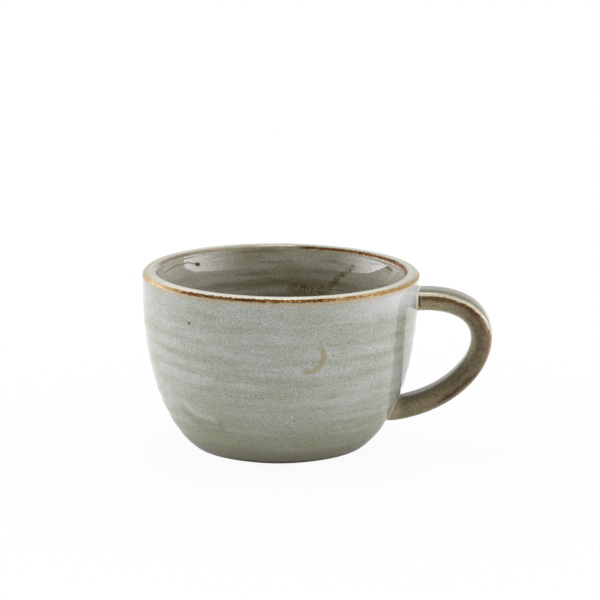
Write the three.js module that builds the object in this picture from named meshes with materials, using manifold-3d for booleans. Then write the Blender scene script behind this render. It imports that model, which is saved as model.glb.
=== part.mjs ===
// A stoneware coffee cup: a turned bowl on a low foot ring, a pulled strap handle that is stuck on with slip
// at two roots, and a fired coat of glaze on everything but the foot ring.
// Millimetres, +Z up. The cup stands on z = 0, the handle points along +X, and the origin is the middle of
// the whole cup's footprint.

import * as THREE from "three";
import { mergeVertices } from "three/addons/utils/BufferGeometryUtils.js";
import Module from "manifold-3d";

const wasm = await Module();
wasm.setup();

// Bowl, bare clay
const rimRadius = 49.6;
const bowlHeight = 64.6;
const wallThickness = 4.5;
const lipRadius = 1.6;
const floorThickness = 6.4;
const floorRadius = 20;
const footRadius = 27.5;
const footWidth = 3.6;
const footHeight = 1;
const footRecess = 1.4;

// Shape of the wall: a higher fullness stands the wall up sooner, a higher spread opens it out more slowly
const wallFullness = 2.44;
const outsideSpread = 0.63;
const insideSpread = 0.5;

// Strap handle, bare clay; the pulls and rises steer the two ends of its centre line
const strapWidth = 13.6;
const strapThickness = 6.6;
const strapEdgeRadius = 2.9;
const strapRoundLimit = 0.95; // largest edge radius, as a share of the half thickness
const upperRootDrop = 10;
const upperPull = 44.5;
const upperRise = 7.2;
const lowerRootHeight = 13.25;
const lowerPull = 41.2;
const lowerRise = 3.75;

// Slip at the roots, glaze, and the clearance left between pieces that are fired together
const slipThickness = 0.9;
const slipSpread = 1.2;
const glazeThickness = 0.4;
const bondClearance = 0.05;

// Mesh fineness
const turnSegments = 48;
const wallSteps = 9;
const lipSteps = 3;
const strapSteps = 28;
const strapCornerSegments = 2;

// Colours of the fired materials
const clay = new THREE.MeshStandardMaterial({ color: 0xc3ab8a, roughness: 0.9, metalness: 0 });
const slip = new THREE.MeshStandardMaterial({ color: 0x9b8b6c, roughness: 0.6, metalness: 0 });
const outsideCoat = new THREE.MeshStandardMaterial({ color: 0xa9aa9a, roughness: 0.2, metalness: 0 });
const insideCoat = new THREE.MeshStandardMaterial({ color: 0x8b8873, roughness: 0.2, metalness: 0 });
const handleCoat = new THREE.MeshStandardMaterial({ color: 0x938c70, roughness: 0.25, metalness: 0 });

// Radius of one side of the wall at a height: level where it leaves the bottom, upright at the lip.
function wallRadius(height, bottom, lowRadius, highRadius, spread) {
  const share = (height - bottom) / (bowlHeight - bottom);
  return lowRadius + (highRadius - lowRadius) * (1 - (1 - share) ** wallFullness) ** spread;
}

const outsideRadius = (height) => wallRadius(height, 0, footRadius, rimRadius, outsideSpread);
const insideRadius = (height) =>
  wallRadius(height, floorThickness, floorRadius, rimRadius - wallThickness, insideSpread);

// Points up one side of the wall, closer together near the bottom where it bends most.
function wallPoints(radiusAt, bottom) {
  const top = bowlHeight - lipRadius;
  return Array.from({ length: wallSteps + 1 }, (_, i) => {
    const height = bottom + (top - bottom) * (i / wallSteps) ** 2;
    return new THREE.Vector2(radiusAt(height), height);
  });
}

// A quarter round of the lip, from the angle given, without its first point.
function lipArc(centreRadius, startAngle) {
  return Array.from({ length: lipSteps }, (_, i) => {
    const angle = startAngle + ((i + 1) / lipSteps) * (Math.PI / 2);
    const rise = new THREE.Vector2(Math.cos(angle), Math.sin(angle)).multiplyScalar(lipRadius);
    return new THREE.Vector2(centreRadius, bowlHeight - lipRadius).add(rise);
  });
}

// The glazed surface of the clay in two runs that meet on the crest of the lip.
const crest = new THREE.Vector2(rimRadius - wallThickness / 2, bowlHeight);
const outsideRun = [
  ...wallPoints(outsideRadius, footHeight),
  ...lipArc(rimRadius - lipRadius, 0),
  crest,
];
const insideRun = [
  crest,
  new THREE.Vector2(rimRadius - wallThickness + lipRadius, bowlHeight),
  ...lipArc(rimRadius - wallThickness + lipRadius, Math.PI / 2),
  ...wallPoints(insideRadius, floorThickness).reverse().slice(1),
  new THREE.Vector2(0, floorThickness),
];

// A run moved off the clay along its normals.
function outset(run, distance) {
  return run.map((point, i) => {
    const before = run[Math.max(i - 1, 0)];
    const after = run[Math.min(i + 1, run.length - 1)];
    const along = after.clone().sub(before).normalize();
    return new THREE.Vector2(along.y, -along.x).multiplyScalar(distance).add(point);
  });
}

function turn(profile) {
  return new THREE.LatheGeometry(profile, turnSegments).rotateX(Math.PI / 2);
}

// Clay bowl: up the outside, over the lip, down to the floor, then back under the foot ring.
const footInside = footRadius - footWidth;
const bowl = turn([
  new THREE.Vector2(0, footRecess),
  new THREE.Vector2(footInside, footRecess),
  new THREE.Vector2(footInside, 0),
  new THREE.Vector2(footRadius, 0),
  new THREE.Vector2(footRadius, footHeight),
  ...outsideRun,
  ...insideRun.slice(1),
]);

// Glaze coats of the bowl; the one underneath is a thin disc inside the foot ring.
const coatTop = bondClearance + glazeThickness;
const insideGlaze = turn([
  ...outset(insideRun, bondClearance).reverse(),
  ...outset(insideRun, coatTop),
]);
const undersideRadius = footInside - bondClearance;
const undersideGlaze = turn([
  new THREE.Vector2(0, footRecess - coatTop),
  new THREE.Vector2(undersideRadius, footRecess - coatTop),
  new THREE.Vector2(undersideRadius, footRecess - bondClearance),
  new THREE.Vector2(0, footRecess - bondClearance),
]);

// Centre line of the strap, in the XZ plane; its frames keep the strap's width along Y.
class StrapLine extends THREE.CubicBezierCurve3 {
  computeFrenetFrames(steps) {
    const across = new THREE.Vector3(0, 1, 0);
    const tangents = Array.from({ length: steps + 1 }, (_, i) => this.getTangentAt(i / steps));
    const normals = tangents.map((tangent) => new THREE.Vector3().crossVectors(across, tangent));
    return { tangents, normals, binormals: tangents.map(() => across) };
  }
}
const upperRootHeight = bowlHeight - upperRootDrop;
const upperEnd = new THREE.Vector3(outsideRadius(upperRootHeight) - wallThickness, 0, upperRootHeight);
const lowerEnd = new THREE.Vector3(outsideRadius(lowerRootHeight) - wallThickness, 0, lowerRootHeight);
const strapLine = new StrapLine(
  upperEnd,
  upperEnd.clone().add(new THREE.Vector3(upperPull, 0, upperRise)),
  lowerEnd.clone().add(new THREE.Vector3(lowerPull, 0, lowerRise)),
  lowerEnd,
);

// Rounded section of the strap, grown on all sides: x is its thickness, y its width.
function strapSection(growth) {
  const x = strapThickness / 2 + growth;
  const y = strapWidth / 2 + growth;
  const round = Math.min(strapEdgeRadius + growth, strapRoundLimit * Math.min(x, y));
  const quarter = Math.PI / 2;
  return new THREE.Shape()
    .moveTo(x, round - y)
    .absarc(x - round, y - round, round, 0, quarter)
    .absarc(round - x, y - round, round, quarter, 2 * quarter)
    .absarc(round - x, round - y, round, 2 * quarter, 3 * quarter)
    .absarc(x - round, round - y, round, 3 * quarter, 4 * quarter);
}

function sweepStrap(section) {
  const options = { steps: strapSteps, curveSegments: strapCornerSegments, bevelEnabled: false };
  return new THREE.ExtrudeGeometry(section, { ...options, extrudePath: strapLine });
}

// Solids for joining and cutting, and back again.
function solidOf(geometry) {
  const bare = geometry.clone();
  bare.deleteAttribute("normal");
  bare.deleteAttribute("uv");
  const merged = mergeVertices(bare);
  const vertProperties = merged.attributes.position.array;
  const triVerts = new Uint32Array(merged.index.array);
  return new wasm.Manifold(new wasm.Mesh({ numProp: 3, vertProperties, triVerts }));
}

function geometryOf(solid) {
  const { vertProperties, triVerts } = solid.getMesh();
  return new THREE.BufferGeometry()
    .setAttribute("position", new THREE.BufferAttribute(vertProperties, 3))
    .setIndex(new THREE.BufferAttribute(triVerts, 1));
}

// The space inside the bowl's outside, moved out from the clay, which no part of the strap may enter.
// It runs on by the bowl's height at both ends.
function bowlSpace(distance) {
  const side = outset(outsideRun.slice(0, wallSteps + 1), distance);
  const low = side[0];
  const high = side[side.length - 1];
  return solidOf(turn([
    new THREE.Vector2(0, low.y - bowlHeight),
    new THREE.Vector2(low.x, low.y - bowlHeight),
    ...side,
    new THREE.Vector2(high.x, high.y + bowlHeight),
    new THREE.Vector2(0, high.y + bowlHeight),
  ]));
}

// Handle, its coat, and the two pads of slip between it and the wall.
const strapSeat = bowlSpace(slipThickness + bondClearance);
const handle = geometryOf(solidOf(sweepStrap(strapSection(0))).subtract(strapSeat));

const coatSection = strapSection(coatTop);
coatSection.holes.push(strapSection(bondClearance));
const handleGlaze = geometryOf(solidOf(sweepStrap(coatSection)).subtract(strapSeat));

const slipLayer = bowlSpace(slipThickness).subtract(bowlSpace(bondClearance));
const slipPads = slipLayer.intersect(solidOf(sweepStrap(strapSection(slipSpread))));
const boxSide = 4 * (rimRadius + bowlHeight); // past the cup on all sides
const upperHalf = new THREE.BoxGeometry(boxSide, boxSide, boxSide)
  .translate(0, 0, (upperRootHeight + lowerRootHeight + boxSide) / 2);
const upperSlip = geometryOf(slipPads.intersect(solidOf(upperHalf)));
const lowerSlip = geometryOf(slipPads.subtract(solidOf(upperHalf)));

// Outside coat, left open where the slip pads sit on the clay.
const coatWindow = solidOf(sweepStrap(strapSection(slipSpread + bondClearance)));
const fullOutsideGlaze = turn([
  ...outset(outsideRun, coatTop),
  ...outset(outsideRun, bondClearance).reverse(),
  outset(outsideRun, coatTop)[0],
]);
const outsideGlaze = geometryOf(solidOf(fullOutsideGlaze).subtract(coatWindow));

// The cup
const pieces = [
  ["bowl", bowl, clay],
  ["handle", handle, clay],
  ["upper_slip_joint", upperSlip, slip],
  ["lower_slip_joint", lowerSlip, slip],
  ["outside_glaze", outsideGlaze, outsideCoat],
  ["inside_glaze", insideGlaze, insideCoat],
  ["underside_glaze", undersideGlaze, outsideCoat],
  ["handle_glaze", handleGlaze, handleCoat],
];
const cup = new THREE.Group();
for (const [name, geometry, material] of pieces) {
  const mesh = new THREE.Mesh(geometry, material);
  mesh.name = name;
  cup.add(mesh);
}
const footprintCentre = new THREE.Box3().setFromObject(cup).getCenter(new THREE.Vector3());
for (const mesh of cup.children) mesh.position.x = -footprintCentre.x;

export default cup;
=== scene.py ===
# %% [markdown]
# A stoneware coffee cup, dressed over its CAD frame.
# The packed CAD solids say how big each piece is and where it sits. This lesson makes the pieces that the
# eye sees: the clay bowl with its bare foot ring, the glaze outside, inside and underneath, and the strap
# handle. Every size is in metres, in the same frame as the CAD: +Z is up and the handle points along +X.

# %% Load the frame
import math

import bpy
import numpy as np
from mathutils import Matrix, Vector


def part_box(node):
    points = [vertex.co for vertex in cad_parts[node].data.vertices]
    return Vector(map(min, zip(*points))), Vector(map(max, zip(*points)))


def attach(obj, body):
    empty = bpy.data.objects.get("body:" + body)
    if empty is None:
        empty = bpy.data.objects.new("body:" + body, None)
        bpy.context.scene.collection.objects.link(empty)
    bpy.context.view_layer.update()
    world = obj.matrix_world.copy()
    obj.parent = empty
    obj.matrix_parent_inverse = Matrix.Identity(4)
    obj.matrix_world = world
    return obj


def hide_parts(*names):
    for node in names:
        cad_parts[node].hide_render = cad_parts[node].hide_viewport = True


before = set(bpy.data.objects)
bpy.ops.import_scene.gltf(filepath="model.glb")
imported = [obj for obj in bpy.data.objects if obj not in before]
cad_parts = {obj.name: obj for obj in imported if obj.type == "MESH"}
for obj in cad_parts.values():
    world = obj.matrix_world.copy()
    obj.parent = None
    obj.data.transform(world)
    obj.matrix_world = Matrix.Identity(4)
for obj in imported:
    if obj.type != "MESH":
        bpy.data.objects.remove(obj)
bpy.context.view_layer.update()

print("CAD nodes:", sorted(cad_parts))

# %% [markdown]
# The frame gives the main sizes: where the bowl's axis stands, how wide and high the clay is, and how far
# the glaze stands off the clay. Reading them here keeps the visible cup and the CAD cup the same size.

# %% Sizes from the frame
MM = 0.001
clay_low, clay_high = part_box("bowl")
coat_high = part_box("outside_glaze")[1]
axis_x = (clay_low.x + clay_high.x) / 2
rim_radius = (clay_high.x - clay_low.x) / 2
bowl_height = clay_high.z
coat = coat_high.z - clay_high.z
print(f"axis x {axis_x / MM:.2f}, rim radius {rim_radius / MM:.2f} mm")
print(f"height {bowl_height / MM:.2f}, coat {coat / MM:.2f} mm")

# %% [markdown]
# The photograph was taken from a little above the rim, from about 0.8 m away, with the handle turned
# slightly towards the viewer. A camera can be aimed by hand, but here its place is worked out from the
# distance and two angles, and it is aimed past the cup by the amount that puts the cup where the photograph
# shows it.

# %% Camera
photo_pixels = 600
pixels_per_mm = 2.742
view_distance = 800 * MM
view_turn = math.radians(5.98)
view_rise = math.radians(14.01)
aim_right = 7.53 * MM
aim_up = 21.01 * MM
look_height = 32 * MM

look_at = Vector((axis_x, 0, look_height))
level = math.cos(view_rise)
towards_camera = Vector((math.sin(view_turn) * level, -math.cos(view_turn) * level, math.sin(view_rise)))
picture_right = Vector((math.cos(view_turn), math.sin(view_turn), 0))
picture_up = towards_camera.cross(picture_right)

camera = bpy.data.objects.new("photo_camera", bpy.data.cameras.new("photo_camera"))
camera.location = look_at + view_distance * towards_camera
aim = look_at + aim_right * picture_right + aim_up * picture_up - camera.location
camera.rotation_euler = aim.to_track_quat("-Z", "Y").to_euler()
camera.data.lens = pixels_per_mm * view_distance / MM * camera.data.sensor_width / photo_pixels
camera.data.clip_start = 0.05
bpy.context.collection.objects.link(camera)
bpy.context.scene.camera = camera
print(f"camera at {tuple(round(v, 3) for v in camera.location)}, lens {camera.data.lens:.1f} mm")

# %% [markdown]
# Node trees make every finish and most of the shapes in this lesson. Adding nodes one call at a time gets
# long, so a small helper adds a node, fills its sockets in order and hands back its first output. Its short
# methods write the sums that come up most.

# %% A helper for node trees
class Graph:
    def __init__(self, tree):
        self.tree = tree

    def feed(self, socket, value):
        if isinstance(value, bpy.types.NodeSocket):
            self.tree.links.new(value, socket)
        elif value is not None:
            socket.default_value = value

    def add(self, kind, *values, **settings):
        node = self.tree.nodes.new(kind)
        for name, setting in settings.items():
            setattr(node, name, setting)
        open_sockets = [socket for socket in node.inputs if socket.enabled]
        for socket, value in zip(open_sockets, values):
            self.feed(socket, value)
        return next((socket for socket in node.outputs if socket.enabled), node)

    def math(self, operation, *values):
        return self.add("ShaderNodeMath", *values, operation=operation)

    def times(self, first, *others):
        for other in others:
            first = self.math("MULTIPLY", first, other)
        return first

    def plus(self, first, second):
        return self.math("ADD", first, second)

    def minus(self, first, second):
        return self.math("SUBTRACT", first, second)

    def over(self, first, second):
        return self.math("DIVIDE", first, second)

    def most(self, first, *others):
        for other in others:
            first = self.math("MAXIMUM", first, other)
        return first

    def vector(self, operation, *values):
        return self.add("ShaderNodeVectorMath", *values, operation=operation)

    def ramp(self, value, low, high, new_low=0.0, new_high=1.0):
        settings = {"interpolation_type": "SMOOTHSTEP"}
        return self.add("ShaderNodeMapRange", value, low, high, new_low, new_high, **settings)

    def between(self, value, low, low_full, high_full, high):
        """1 from low_full to high_full, fading to 0 at low and at high."""
        return self.times(self.ramp(value, low, low_full), self.ramp(value, high, high_full))

    def split(self, place):
        return self.add("ShaderNodeSeparateXYZ", place).node.outputs

    def join(self, x, y, z):
        return self.add("ShaderNodeCombineXYZ", x, y, z)

    def noise(self, place, size, detail=2.0, roughness=0.5):
        return self.add("ShaderNodeTexNoise", place, 1 / size, detail, roughness)

    def mix(self, share, first, second, blend="MIX"):
        return self.add("ShaderNodeMix", share, first, second, data_type="RGBA", blend_type=blend)


print("a graph can", [name for name in vars(Graph) if not name.startswith("_")])


# %% Colours as a picture shows them
def tone(red, green, blue):
    """A colour as a picture shows it, 0 to 255, turned into the linear numbers that shaders use."""
    shares = np.array((red, green, blue)) / 255
    linear = np.where(shares <= 0.04045, shares / 12.92, ((shares + 0.055) / 1.055) ** 2.4)
    return (*linear.tolist(), 1.0)


print("white is", tone(255, 255, 255))

# %% [markdown]
# The cup stands on a plain white table in soft, even light. The floor is a real surface, so it catches the
# cup's shadow. For the camera and for reflections it is partly lit from itself, which lifts it to the white
# of the background. The glaze mirrors it dimmer close to the cup and brighter on the right than in front,
# which draws the handle's dark strip in the wall.

# %% Paint of the table
table_level = 0.82
floor_finish = bpy.data.materials.new("white_table")
floor_finish.use_nodes = True
floor_graph = Graph(floor_finish.node_tree)
floor_nodes = floor_finish.node_tree.nodes
floor_paint = floor_nodes["Principled BSDF"]
floor_paint.inputs["Base Color"].default_value = (table_level, table_level, table_level, 1)
floor_paint.inputs["Roughness"].default_value = 0.9
floor_paint.inputs["Specular IOR Level"].default_value = 0.1
print("table paint reflects", table_level)

# %% Glow of the table
shadow_core = 0.05
shadow_share = 0.06
shadow_reach = 0.2
mirror_shadow_share = 0.85
mirror_shadow_reach = 0.16
mirror_front = 0.8
mirror_left = 1.0
mirror_right = 1.36


def rays_that_look(graph):
    path = graph.add("ShaderNodeLightPath").node.outputs
    mirrored = graph.most(path["Is Glossy Ray"], path["Is Transmission Ray"])
    return path["Is Camera Ray"], mirrored


floor_place = floor_graph.add("ShaderNodeTexCoord").node.outputs["Object"]
far_out = floor_graph.vector("LENGTH", floor_place)
whiteness = floor_graph.ramp(far_out, shadow_core, shadow_reach, 1 - shadow_share, 1.0)
mirror_whiteness = floor_graph.ramp(far_out, shadow_core, mirror_shadow_reach, 1 - mirror_shadow_share, 1.0)
seen, mirrored = rays_that_look(floor_graph)
glow_share = floor_graph.times(seen, whiteness)
glow_share = floor_graph.math("MULTIPLY_ADD", mirrored, mirror_whiteness, glow_share)
bearing = floor_graph.vector("NORMALIZE", floor_place)
in_front = floor_graph.ramp(floor_graph.vector("DOT_PRODUCT", bearing, tuple(towards_camera)), -0.3, 0.8)
to_right = floor_graph.vector("DOT_PRODUCT", bearing, tuple(picture_right))
mirror_strength = floor_graph.ramp(to_right, -0.4, 0.4, mirror_left, mirror_right)
mirror_strength = floor_graph.add("ShaderNodeMix", in_front, mirror_strength, mirror_front)
glow_strength = floor_graph.add("ShaderNodeMix", mirrored, 1.0, mirror_strength)
floor_glow = floor_graph.add("ShaderNodeEmission", (1, 1, 1, 1), glow_strength)
floor_mix = floor_graph.add("ShaderNodeMixShader", glow_share, floor_paint.outputs[0], floor_glow)
floor_graph.feed(floor_nodes["Material Output"].inputs["Surface"], floor_mix)
print("table glow has", len(floor_nodes), "nodes")

# %% Table top
floor_size = 4.0
half = floor_size / 2
floor_corners = [(-half, -half, 0), (half, -half, 0), (half, half, 0), (-half, half, 0)]
floor_mesh = bpy.data.meshes.new("table_top")
floor_mesh.from_pydata(floor_corners, [], [(0, 1, 2, 3)])
floor_mesh.materials.append(floor_finish)
floor = bpy.data.objects.new("table_top", floor_mesh)
bpy.context.collection.objects.link(floor)
print("floor", floor_size, "m square")

# %% [markdown]
# A white tent round the table lights the cup from everywhere, and two large, slightly cool panels at the
# sides make its flanks a little brighter than its front, as in the photograph. The panels fade out towards
# the camera, so that their mirror images have a soft edge. The tent shows as plain white to the camera and
# behind the cup in the glaze, but lights the cup at a lower level. It is open towards the camera, where the
# glaze mirrors a dimmer room. A small lamp overhead draws the bright line along the lip.

# %% White tent
tent_level = 0.57
tent_mirror_level = 1.1
front_light_share = 0.88
room_level = 0.3

world = bpy.data.worlds.new("white_tent")
world.use_nodes = True
bpy.context.scene.world = world
world_graph = Graph(world.node_tree)
tent = world.node_tree.nodes["Background"]
tent.inputs["Color"].default_value = (1, 1, 1, 1)
seen, mirrored = rays_that_look(world_graph)
ray_direction = world_graph.add("ShaderNodeTexCoord").node.outputs["Generated"]
to_camera_side = world_graph.vector("DOT_PRODUCT", ray_direction, tuple(towards_camera))
mirror_level = world_graph.ramp(to_camera_side, -0.2, 0.5, tent_mirror_level, room_level)
front_level = front_light_share * tent_level
light_level = world_graph.ramp(to_camera_side, -0.2, 0.8, tent_level, front_level)
tent_strength = world_graph.add("ShaderNodeMix", mirrored, light_level, mirror_level)
tent_strength = world_graph.add("ShaderNodeMix", seen, tent_strength, 1.0)
world_graph.feed(tent.inputs["Strength"], tent_strength)
print(f"tent lights at {tent_level}, mirrors at {tent_mirror_level}, room at {room_level}")

# %% Soft panels and a lamp overhead
left_power = 9.8
right_power = 6.0
top_power = 1.6
left_width = 1.5
right_width = 1.2
panel_height = 0.36
top_size = 0.22
panel_reach = 0.8
panel_fade = 0.8


def soft_panel(name, direction, power, colour, width, height, fade_from, fade_to):
    lamp = bpy.data.lights.new(name, "AREA")
    lamp.energy = power
    lamp.color = colour
    lamp.shape = "RECTANGLE"
    lamp.size = width
    lamp.size_y = height
    lamp.use_nodes = True
    graph = Graph(lamp.node_tree)
    spot = graph.add("ShaderNodeNewGeometry").node.outputs["Parametric"]
    across = graph.split(spot)["X"]
    fade = graph.ramp(across, fade_from, fade_to)
    graph.feed(lamp.node_tree.nodes["Emission"].inputs["Strength"], fade)
    holder = bpy.data.objects.new(name, lamp)
    holder.location = look_at + panel_reach * Vector(direction).normalized()
    holder.rotation_euler = (look_at - holder.location).to_track_quat("-Z", "Y").to_euler()
    bpy.context.collection.objects.link(holder)


cool_white = (0.93, 0.92, 1.0)
white = (1.0, 1.0, 1.0)
left_fade = (1.0, 1 - panel_fade)
right_fade = (0.0, panel_fade)
no_fade = (-1.0, 0.0)
soft_panel("left_panel", (-1, -0.1, 0.25), left_power, cool_white, left_width, panel_height, *left_fade)
soft_panel("right_panel", (1, -0.25, 0.25), right_power, cool_white, right_width, panel_height, *right_fade)
soft_panel("top_lamp", (0, 0.2, 1), top_power, white, top_size, top_size, *no_fade)
bpy.context.scene.view_settings.view_transform = "Standard"
print("white tent and", len(bpy.data.lights), "lamps")

# %% [markdown]
# The bowl was turned on a wheel, so one profile describes it: up the outside from the edge of the glaze,
# over the rounded lip, and down the inside to the middle of the floor. Both sides of the wall follow the
# same rule as the CAD: level where they leave the bottom, upright at the lip. Below the lip the inside has
# a slight bevel, which mirrors the side panels as two pale patches. The points lie close together on the
# lip, where the glaze breaks from grey to brown within a millimetre.

# %% Profile of the clay
wall = 4.5 * MM
lip_round = 1.6 * MM
floor_top = 6.4 * MM
floor_radius = 20 * MM
foot_radius = 27.5 * MM
foot_step = 1.0 * MM
glaze_stop = 1.9 * MM
wall_fullness = 2.44
outside_spread = 0.63
inside_spread = 0.5
flare_slope = 0.26
flare_straight = 6.2 * MM
flare_depth = 8 * MM


def wall_radius(share, low_radius, high_radius, spread):
    return low_radius + (high_radius - low_radius) * (1 - (1 - share) ** wall_fullness) ** spread


def outside_radius(height):
    return wall_radius(height / bowl_height, foot_radius, rim_radius, outside_spread)


def inside_radius(height):
    share = (height - floor_top) / (bowl_height - floor_top)
    radius = wall_radius(share, floor_radius, rim_radius - wall, inside_spread)
    below_lip = np.clip(bowl_height - lip_round - height, 0, flare_depth)
    eased = np.clip(below_lip - flare_straight, 0, None) ** 2 / (2 * (flare_depth - flare_straight))
    return radius - flare_slope * (below_lip - eased) * share


print(f"outside radius half way up: {outside_radius(bowl_height / 2) / MM:.1f} mm")

# %% Points on the profile
lip_points = 14
outer_points = 130
inner_points = 90
floor_points = 14
crowding = 1.4


def wall_side(radius_at, bottom, points):
    height = bottom + (bowl_height - lip_round - bottom) * np.linspace(0, 1, points) ** crowding
    return np.column_stack([radius_at(height), height])


def lip_arc(centre_radius, start_angle):
    angle = start_angle + np.linspace(0, math.pi / 2, lip_points)
    arc = np.column_stack([np.cos(angle), np.sin(angle)]) * lip_round
    return arc + (centre_radius, bowl_height - lip_round)


crest = np.array([[rim_radius - wall / 2, bowl_height]])
outer_lip = lip_arc(rim_radius - lip_round, 0)
inner_lip = lip_arc(rim_radius - wall + lip_round, math.pi / 2)
outer_side = wall_side(outside_radius, glaze_stop, outer_points)
inner_side = wall_side(inside_radius, floor_top, inner_points)[::-1]
floor_run = np.column_stack([np.linspace(floor_radius, 0, floor_points), np.full(floor_points, floor_top)])
outside_run = np.vstack([outer_side[:-1], outer_lip, crest])
inside_run = np.vstack([crest, inner_lip, inner_side[1:], floor_run[1:]])
print(len(outside_run), "points outside,", len(inside_run), "inside")

# %% [markdown]
# The glaze is a coat on that clay, so its profile is the clay's moved out along its normals. Two things
# that the finish and the wheel need are noted on every point: how far it lies from the sharpest edge
# nearby, where molten glaze runs thin and breaks brown, and how strongly the throwing rings show there.


# %% Profile of the glaze
def normals_of(run):
    along = np.gradient(run, axis=0)
    across = np.column_stack([along[:, 1], -along[:, 0]])
    return across / np.linalg.norm(across, axis=1, keepdims=True)


def distance_from(run, place):
    steps = np.linalg.norm(np.diff(run, axis=0), axis=1)
    length = np.concatenate([[0], np.cumsum(steps)])
    return np.abs(length - length[place]) / MM


outer_drop = 0.8 * MM
inner_drop = 0.75 * MM
edge_start = 0.3
foot_steepness = 2
outside_glazed = outside_run + coat * normals_of(outside_run)
inside_glazed = inside_run + coat * normals_of(inside_run)
lip_top = outside_glazed[:, 1].max()
outer_break = np.abs(outside_glazed[:, 1] - lip_top + outer_drop)[: len(outside_glazed) - 2].argmin()
inner_break = np.abs(inside_glazed[:, 1] - lip_top + inner_drop)[2:].argmin() + 2
foot_edge = distance_from(outside_glazed, 0) * foot_steepness + edge_start
outside_edge = np.minimum(distance_from(outside_glazed, outer_break), foot_edge)
inside_edge = distance_from(inside_glazed, inner_break)
outside_rings = np.interp(outside_run[:, 1] / MM, [2, 9, 36, 54, 61], [0, 1, 0.9, 0.45, 0])
inside_rings = np.interp(inside_run[:, 1] / MM, [6.4, 10, 50, 57], [0.2, 1.4, 1.4, 0])
print(f"lip at {lip_top / MM:.2f} mm, glaze breaks {outer_drop / MM} and {inner_drop / MM} mm below it")

# %% [markdown]
# A profile becomes a bowl in Geometry Nodes. A grid is laid out with one row for each point of the profile,
# and every vertex is carried to its place on the wheel: its column gives the turn, its row gives radius and
# height. On the way, the thrower's fingers lift it into shallow rings that climb like a screw thread, a
# slow noise makes the wall a little uneven, and the whole bowl leans about half a degree towards the
# handle, whose weight pulled on the wet clay. A spin modifier would give a perfect lathe; this way the
# wheel leaves its marks.


# %% Start and end of a tree
def new_tree(name, inputs):
    tree = bpy.data.node_groups.new(name, "GeometryNodeTree")
    tree.is_modifier = True
    tree.interface.new_socket("Shape", in_out="INPUT", socket_type="NodeSocketGeometry")
    for kind, labels in inputs.items():
        for label in labels:
            tree.interface.new_socket(label, in_out="INPUT", socket_type="NodeSocket" + kind)
    tree.interface.new_socket("Shape", in_out="OUTPUT", socket_type="NodeSocketGeometry")
    given = tree.nodes.new("NodeGroupInput").outputs
    return tree, Graph(tree), given


merge_reach = 0.005 * MM


def end_tree(graph, shape, places, finish):
    """Carries every vertex to its place, closes the seams and puts the finish on."""
    shape = graph.add("GeometryNodeSetPosition", shape, None, places)
    shape = graph.add("GeometryNodeMergeByDistance", shape, None, merge_reach)
    shape = graph.add("GeometryNodeSetShadeSmooth", shape)
    shape = graph.add("GeometryNodeRealizeInstances", shape)
    shape = graph.add("GeometryNodeSetMaterial", shape, None, finish)
    ending = graph.tree.nodes.new("NodeGroupOutput")
    graph.feed(ending.inputs[0], shape)


def grid_of(graph, columns, rows):
    """A flat grid, with the column and the row of each vertex as whole numbers."""
    sheet = graph.add("GeometryNodeMeshGrid", 1.0, 1.0, columns, rows)
    spot = graph.split(graph.add("GeometryNodeInputPosition"))
    counts = []
    for share, count in ((spot["X"], columns), (spot["Y"], rows)):
        steps = graph.minus(count, 1)
        place = graph.times(graph.plus(share, 0.5), steps)
        counts.append(graph.math("ROUND", place))
    return sheet, counts[0], counts[1]


def keep(graph, shape, name, value):
    settings = {"data_type": "FLOAT", "domain": "POINT"}
    return graph.add("GeometryNodeStoreNamedAttribute", shape, None, name, value, **settings)


print("seams closer than", merge_reach / MM, "mm are closed")

# %% Inputs of the wheel
wheel_inputs = {
    "Int": ["Columns"],
    "Float": ["Axis X", "Ring Pitch", "Ring Depth", "Unevenness", "Lean"],
    "Material": ["Finish"],
}
wheel, on_wheel, wheel_given = new_tree("potters_wheel", wheel_inputs)
print("inputs of the wheel:", wheel_inputs)

# %% Profile to bowl
profile = wheel_given["Shape"]
profile_size = on_wheel.add("GeometryNodeAttributeDomainSize", profile, component="MESH")
rows = profile_size.node.outputs["Point Count"]
sheet, column, row = grid_of(on_wheel, wheel_given["Columns"], rows)


def from_profile(value, kind):
    return on_wheel.add("GeometryNodeSampleIndex", profile, value, row, data_type=kind, domain="POINT")


def noted(name, kind):
    value = on_wheel.add("GeometryNodeInputNamedAttribute", name, data_type=kind)
    return from_profile(value, kind)


point = from_profile(on_wheel.add("GeometryNodeInputPosition"), "FLOAT_VECTOR")
point_parts = on_wheel.split(point)
radius = point_parts["X"]
height = point_parts["Z"]
outward = on_wheel.split(noted("outward", "FLOAT_VECTOR"))
turns = on_wheel.over(column, on_wheel.minus(wheel_given["Columns"], 1))
angle = on_wheel.times(turns, 2 * math.pi)
cosine = on_wheel.math("COSINE", angle)
sine = on_wheel.math("SINE", angle)
print("wheel has", len(wheel.nodes), "nodes to read the profile")

# %% Throwing rings and unevenness
slow_height = 30 * MM
band_step = 7 * MM
pole_reach = 4 * MM
round_place = on_wheel.join(cosine, sine, on_wheel.times(height, 1 / slow_height))
slow = on_wheel.minus(on_wheel.noise(round_place, 0.9, 1.0), 0.5)
band_height = on_wheel.times(height, 1 / band_step)
band_place = on_wheel.join(cosine, sine, band_height)
strength = on_wheel.ramp(on_wheel.noise(band_place, 1.1, 2.0), 0.3, 0.62, 0.25, 1.0)
climb = on_wheel.plus(on_wheel.over(height, wheel_given["Ring Pitch"]), turns)
climb = on_wheel.plus(climb, on_wheel.times(slow, 0.8))
wave = on_wheel.math("SINE", on_wheel.times(climb, 2 * math.pi))
ring = on_wheel.times(wave, strength, noted("rings", "FLOAT"))
lift = on_wheel.times(ring, wheel_given["Ring Depth"])
off_foot = on_wheel.ramp(height, 1 * MM, 20 * MM)
wobble = on_wheel.times(slow, off_foot, wheel_given["Unevenness"])
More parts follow.
